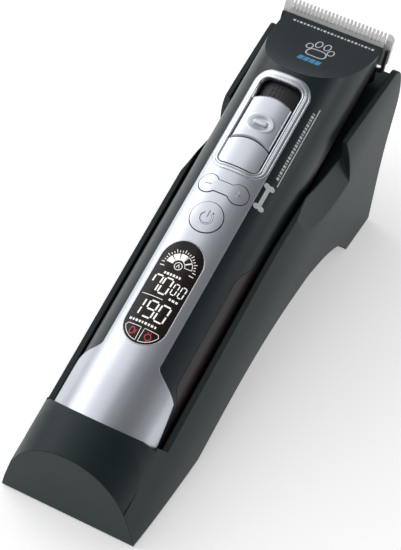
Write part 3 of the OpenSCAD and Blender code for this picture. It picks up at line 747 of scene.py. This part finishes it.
# %% Dividers and small dashes
DIVIDER_ALONG = -35.6
CAPTIONS = [
    # along, right of its start, dashes, gap, width
    (-25.6, -3.6, [0.7, 0.9, 0.7, 0.9, 0.7, 0.7], 0.42, 0.95),
    (-34.4, 3.0, [0.8, 1.0, 0.8], 0.42, 0.85),
    (-46.2, -6.6, [0.9, 0.6, 0.9, 0.7, 0.6, 0.9, 0.7, 0.9, 0.6], 0.5, 0.9),
]
small = bmesh.new()
sweep(small, line((DIVIDER_ALONG, -7.4), (DIVIDER_ALONG, 1.2), 8), ribbon(FINE), window)
for along, right, lengths, gap, width in CAPTIONS:
    dashes(small, lambda s: (along, right + s), window, lengths, gap, width)
make_piece("display_small_marks", small, white_glow, "clipper")

# %% [markdown]
# ## Oil and charge lamps
# The two lamps at the bottom sit in rounded frames that follow the window's round
# end. A drop of oil and a plug stand for "oil me" and "charge me".

# %% Lamp frames
WINDOW_END = (-46.1, 0)
FRAME_R, FRAME_LINE = 7.3, 0.2
FRAME_CORNER = [(-48.2, 6.2), (-48.0, 5.8), (-48.0, 0.7)]
frames = bmesh.new()
for side in (-1, 1):
    curve = arc(WINDOW_END, FRAME_R, 180 - side * 4, 180 - side * 66, 9)
    corner = [(along, side * right) for along, right in FRAME_CORNER]
    sweep(frames, curve + corner, ribbon(FRAME_LINE), window, closed=True)
make_piece("display_lamp_frames", frames, white_glow, "clipper")

# %% [markdown]
# ## Symbols in the lamps
# The drop is a circle pulled out toward the head. The plug is a ring with two
# prongs in front and a lead behind.

# %% Symbols in the lamps
LAMP_ALONG, DROP_RIGHT, PLUG_RIGHT = -50.6, -3.3, 3.2
DROP_LONG, DROP_WIDE, DROP_POINT = 1.1, 0.85, 1.5
RING_LINE, PLUG_R, PRONG_LINE = 0.34, 1.15, 0.28
DROPLET = [(-49.6, -1.9), (-51.2, -1.9)]
LEAD = [(-51.7, PLUG_RIGHT), (-52.5, PLUG_RIGHT)]
lamps = bmesh.new()
drop = [(LAMP_ALONG + DROP_LONG * math.cos(t) * (DROP_POINT if math.cos(t) > 0 else 1),
         DROP_RIGHT + DROP_WIDE * math.sin(t)) for t in once_round(20)]
sweep(lamps, drop, ribbon(RING_LINE), window, closed=True)
sweep(lamps, DROPLET, ribbon(STRONG), window)
sweep(lamps, arc((LAMP_ALONG, PLUG_RIGHT), PLUG_R, 0, 345, 20), ribbon(RING_LINE), window, closed=True)
for prong in (2.7, 3.7):
    sweep(lamps, [(-49.5, prong), (-48.7, prong)], ribbon(PRONG_LINE), window)
sweep(lamps, LEAD, ribbon(STRONG), window)
make_piece("display_lamps", lamps, red_glow, "clipper")

# %% [markdown]
# ## Rim of the window
# A pale lip catches light all round the window. It is a half-round bead along the
# window's outline, which is a long shape with fully round ends.

# %% Window rim
WINDOW_FRONT, WINDOW_REAR, WINDOW_HALF = -11.1, -54.5, 8.42
LIP_WIDE, LIP_HIGH, LIP_LOW = 0.34, 0.14, -0.5
plate = on_barrel(PLATE_R)


def stadium(front, rear, half, steps=20, straight=16):
    """Outline of a long shape with round ends."""
    return (arc((front - half, 0), half, -90, 90, steps)
            + line((front - half, half), (rear + half, half), straight)[1:-1]
            + arc((rear + half, 0), half, 90, 270, steps)
            + line((rear + half, -half), (front - half, -half), straight)[1:-1])


rim = bmesh.new()
outline = stadium(WINDOW_FRONT, WINDOW_REAR, WINDOW_HALF)
sweep(rim, outline, bead(LIP_WIDE, LIP_HIGH, low=LIP_LOW), plate, closed=True)
make_piece("window_rim", rim, finishes["bright_trim"], "clipper")

# %% [markdown]
# ## Power symbol
# The power symbol stands on the button's face as a soft raised ring with a bar,
# next to a pinhead lamp. A bead with a rounded back gives it a highlight on one
# side, and a hairline of painted shadow in dark ink on the other side keeps it
# readable when the light comes from straight above.

# %% Power symbol
RING_AT = (-0.3, 0)
RING_R, SHADOW_R = 2.55, 2.12
BAR_FROM, BAR_TO, BAR_SHADOW = 0.2, 2.9, 0.42
SYMBOL_HIGH = 0.17
SHADOW_TOP = 0.015
PINHEAD_AT, PINHEAD_R = (2.15, 1.85), 0.32
button_top = on_barrel(BUTTON_R)
power = bmesh.new()
sweep(power, arc(RING_AT, RING_R, 32, 328, 36), bead(0.62, SYMBOL_HIGH), button_top)
sweep(power, line((BAR_FROM, 0), (BAR_TO, 0), 4), bead(0.5, SYMBOL_HIGH), button_top)
make_piece("power_symbol", power, finishes["silver_plate"], "button")
# painted shadow: a dark hairline inside the ring and beside the bar, where the raised bead would shade the button
painted_symbol_shadow = bmesh.new()
sweep(painted_symbol_shadow, arc(RING_AT, SHADOW_R, 36, 324, 36), ribbon(0.16, SHADOW_TOP), button_top)
sweep(painted_symbol_shadow, line((BAR_FROM, BAR_SHADOW), (BAR_TO, BAR_SHADOW), 4), ribbon(0.14, SHADOW_TOP), button_top)
make_piece("power_symbol_shadow_line", painted_symbol_shadow, dark_ink_and_painted_shadow, "button")
pinhead = bmesh.new()
fill(pinhead, arc(PINHEAD_AT, PINHEAD_R, 0, 340, 17), button_top, low=-0.1)
make_piece("power_lamp", pinhead, dark_ink_and_painted_shadow, "button")

# %% [markdown]
# ## Rocker symbols
# The rocker has a minus on one end and a plus on the other. They are drawn with
# the same bead, and they ride on the rocker so that they tilt with it.

# %% Rocker symbols
ROCKER_ALONG, ROCKER_SIDE = 13.1, 6.1
STROKE, SHADOW_SHIFT = 1.4, 0.3
rocker_top = on_barrel(ROCKER_R)
minus = ((ROCKER_ALONG, -ROCKER_SIDE - STROKE), (ROCKER_ALONG, -ROCKER_SIDE + STROKE))
plus_across = ((ROCKER_ALONG, ROCKER_SIDE - STROKE), (ROCKER_ALONG, ROCKER_SIDE + STROKE))
plus_along = ((ROCKER_ALONG - STROKE, ROCKER_SIDE), (ROCKER_ALONG + STROKE, ROCKER_SIDE))
signs = bmesh.new()
for start, end in (minus, plus_across, plus_along):
    sweep(signs, line(start, end, 4), bead(0.4, 0.1), rocker_top)
make_piece("rocker_signs", signs, finishes["silver_plate"], "rocker")
# painted shadow: dark hairlines beside the minus and the plus, as on the power button
shadow_along = ROCKER_ALONG - SHADOW_SHIFT
sign_shadow = bmesh.new()
for start, end, count in ((-ROCKER_SIDE - STROKE, -ROCKER_SIDE + STROKE, 4),
                          (ROCKER_SIDE + SHADOW_SHIFT, ROCKER_SIDE + STROKE, 3)):
    sweep(sign_shadow, line((shadow_along, start), (shadow_along, end), count),
          ribbon(0.14, SHADOW_TOP), rocker_top)
make_piece("rocker_sign_shadow_lines", sign_shadow, dark_ink_and_painted_shadow, "rocker")

# %% [markdown]
# ## Bezel around the slider
# The frame in the CAD is flat, but the real one is a bright moulding with a
# groove between two ridges, which gives its double highlight. Its inner and outer
# outlines differ, so one is blended into the other in steps while a height
# profile rises and falls. The moulding then stands for the flat frame.

# %% Outlines of the bezel
SIDE_STEP = 2.0


def rounded_box(rear, front, half, radius, steps=10):
    """Outline of a box with round corners, with the same count of points for any size."""
    corners = [((front - radius, half - radius), 0), ((rear + radius, half - radius), 90),
               ((rear + radius, radius - half), 180), ((front - radius, radius - half), 270)]
    points = []
    for centre, start in corners:
        points += arc(centre, radius, start, start + 90, steps)
    return points


def spread_along(points, guide):
    """Adds points along each side of an outline; the guide's sides set how many."""
    spread = []
    for i, one in enumerate(points):
        n = (i + 1) % len(points)
        count = max(1, round(math.dist(guide[i], guide[n]) / SIDE_STEP))
        spread += [(one[0] + (points[n][0] - one[0]) * k / count,
                    one[1] + (points[n][1] - one[1]) * k / count) for k in range(count)]
    return spread


outside = rounded_box(rear=20.4, front=65, half=11.3, radius=6.5)
inside = rounded_box(rear=22.7, front=61.7, half=8.6, radius=3)
outer, inner = spread_along(outside, outside), spread_along(inside, outside)
print("bezel outlines have", len(outer), "points each")

# %% [markdown]
# ## Moulding of the bezel
# The profile is a list of steps from the outer outline to the inner one. The first
# number says how far in the step lies, and the second how high it stands above the
# plate. The last steps go down inside the opening and back under the ridge.

# %% Bezel moulding
MOULDING = [(0, -0.3), (0, 0.16), (0.04, 0.32), (0.12, 0.42), (0.24, 0.47), (0.38, 0.46), (0.48, 0.40),
            (0.56, 0.22), (0.62, 0.20), (0.68, 0.34), (0.76, 0.42), (0.86, 0.42), (0.95, 0.32),
            (1.0, 0.10), (1.0, -1.6), (0.9, -1.6), (0.86, -0.3)]
moulding = bmesh.new()
loops = []
for share, height in MOULDING:
    between = [(o[0] + (n[0] - o[0]) * share, o[1] + (n[1] - o[1]) * share) for o, n in zip(outer, inner)]
    loops.append([moulding.verts.new(plate(along, right, height)) for along, right in between])
for one, two in zip(loops, loops[1:] + loops[:1]):
    for i in range(len(outer)):
        n = (i + 1) % len(outer)
        moulding.faces.new((one[i], one[n], two[n], two[i]))
bezel = make_piece("bezel_moulding", moulding, finishes["bright_trim"], "clipper",
                   crisp_from=50)
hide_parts("slider_bezel")

# %% [markdown]
# ## Thumb slider
# The slider is the piece a groomer touches most. It has a shallow oval hollow for
# the thumb and a bar across it to push on. Boolean cuts would leave sharp rims, so
# the top is made as a fine grid whose height is worked out from four simple
# shapes: rounded edges, a bowl, a low rim around it, and the bar.

# %% Height of the slider's top
EDGE_DROP, EDGE_REACH = 0.45, 0.9
BOWL_ALONG, BOWL_LONG, BOWL_WIDE, BOWL_DEEP = 42.6, 3.6, 5.1, 0.75
BOWL_FLAT, BOWL_SIDE = 0.35, 0.6
RIM_AT, RIM_HIGH, RIM_WIDE = 1.02, 0.12, 0.09
BAR_LONG, BAR_WIDE, BAR_HIGH = 3.3, 1.35, 0.38
BAR_FLAT, BAR_SIDE = 0.55, 0.5


def smooth_step(value):
    """0 below 0, 1 above 1, and an even slope in between."""
    value = min(1, max(0, value))
    return value * value * (3 - 2 * value)


def slider_height(along, right, to_edge):
    """Height of the slider's top above its round surface."""
    rounding = -EDGE_DROP * (1 - smooth_step(to_edge / EDGE_REACH)) ** 2
    reach = math.hypot((along - BOWL_ALONG) / BOWL_LONG, right / BOWL_WIDE)
    bowl = -BOWL_DEEP * (1 - smooth_step((reach - BOWL_FLAT) / BOWL_SIDE))
    rim = RIM_HIGH * math.exp(-((reach - RIM_AT) / RIM_WIDE) ** 2)
    beyond = max(0, abs(right) - (BAR_LONG - BAR_WIDE))
    from_bar = math.hypot(along - BOWL_ALONG, beyond) / BAR_WIDE
    bar = (BAR_HIGH + BOWL_DEEP) * (1 - smooth_step((from_bar - BAR_FLAT) / BAR_SIDE)) - BOWL_DEEP
    return rounding + (max(bowl, bar) if reach < 1 else bowl) + rim


print("bar stands", slider_height(BOWL_ALONG, 0, EDGE_REACH), "mm above the slider")

# %% [markdown]
# ## Grid of the slider
# The slider's front and rear edges are bowed, so every column of the grid is
# shifted by the bow. The same helper makes the top and the underside, and another
# finds the ring of points round the outside.

# %% Grid of the slider
SLIDER_REAR, SLIDER_FRONT, SLIDER_HALF, BOW_R = 35.6, 54.2, 8.1, 18.0
ROWS, COLUMNS = 96, 80
slider_top = on_barrel(ROCKER_R)


def grid(mesh, height_at):
    """A grid of faces over the slider's plan, and its rows of points."""
    rows = []
    for i in range(ROWS + 1):
        row = []
        for j in range(COLUMNS + 1):
            across = SLIDER_HALF * (2 * j / COLUMNS - 1)
            bow = math.sqrt(BOW_R ** 2 - across ** 2) - BOW_R
            along = SLIDER_REAR + bow + (SLIDER_FRONT - SLIDER_REAR) * i / ROWS
            to_edge = min(SLIDER_HALF - abs(across), along - SLIDER_REAR - bow,
                          SLIDER_FRONT + bow - along)
            row.append(mesh.verts.new(slider_top(along, across, height_at(along, across, to_edge))))
        rows.append(row)
    for i in range(ROWS):
        for j in range(COLUMNS):
            mesh.faces.new((rows[i][j], rows[i][j + 1], rows[i + 1][j + 1], rows[i + 1][j]))
    return rows


def border(rows):
    """The outer ring of a grid, in order."""
    return (rows[0] + [row[-1] for row in rows[1:-1]] + rows[-1][::-1]
            + [row[0] for row in rows[-2:0:-1]])


print("slider grid squares are about", round((SLIDER_FRONT - SLIDER_REAR) / ROWS, 2), "mm long")

# %% [markdown]
# ## Solid of the slider
# One band of faces joins the borders of the top and the underside. A small block
# below is the stem that goes down through the slot. The solid then stands for the
# plainer slider of the CAD frame.

# %% Thumb slider
UNDERSIDE = -2.5
# from and to, along, right and up
STEM = ((42.2, 46.2), (-1.6, 1.6), (12.25, 19.0))
slider = bmesh.new()
ring_top = border(grid(slider, slider_height))
ring_under = border(grid(slider, lambda along, right, to_edge: UNDERSIDE))
for i in range(len(ring_top)):
    n = (i + 1) % len(ring_top)
    slider.faces.new((ring_top[i], ring_top[n], ring_under[n], ring_under[i]))
stem = [[[slider.verts.new(place(a, r, u)) for u in STEM[2]] for r in STEM[1]] for a in STEM[0]]
for end in (0, 1):
    slider.faces.new((stem[end][0][0], stem[end][0][1], stem[end][1][1], stem[end][1][0]))
    slider.faces.new((stem[0][end][0], stem[0][end][1], stem[1][end][1], stem[1][end][0]))
    slider.faces.new((stem[0][0][end], stem[0][1][end], stem[1][1][end], stem[1][0][end]))
thumb_slider = make_piece("thumb_slider", slider, finishes["silver_plate"], "height_slider",
                          crisp_from=50)
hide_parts("blade_slider")

# %% [markdown]
# ## Scale in the well
# The floor of the slider's well carries a moulded scale in its own black plastic.
# It is only seen when light skims over it, so low beads are enough.

# %% Scale in the well
WELL_R = 18.8
MARK_ROWS = (56.4, 58.2, 60.0)
MARK_FROM, MARK_GAP, MARKS = -3.2, 1.6, 5
LONG_MARK, SHORT_MARK = 1.3, 0.9
well_floor = on_barrel(WELL_R)
scale = bmesh.new()
for row, along in enumerate(MARK_ROWS):
    for mark in range(MARKS):
        right = MARK_FROM + MARK_GAP * mark
        half = (LONG_MARK if (mark + row) % 2 else SHORT_MARK) / 2
        sweep(scale, line((along - half, right), (along + half, right), 2), bead(0.35, 0.15), well_floor)
make_piece("well_scale", scale, finishes["black_plastic"], "clipper")
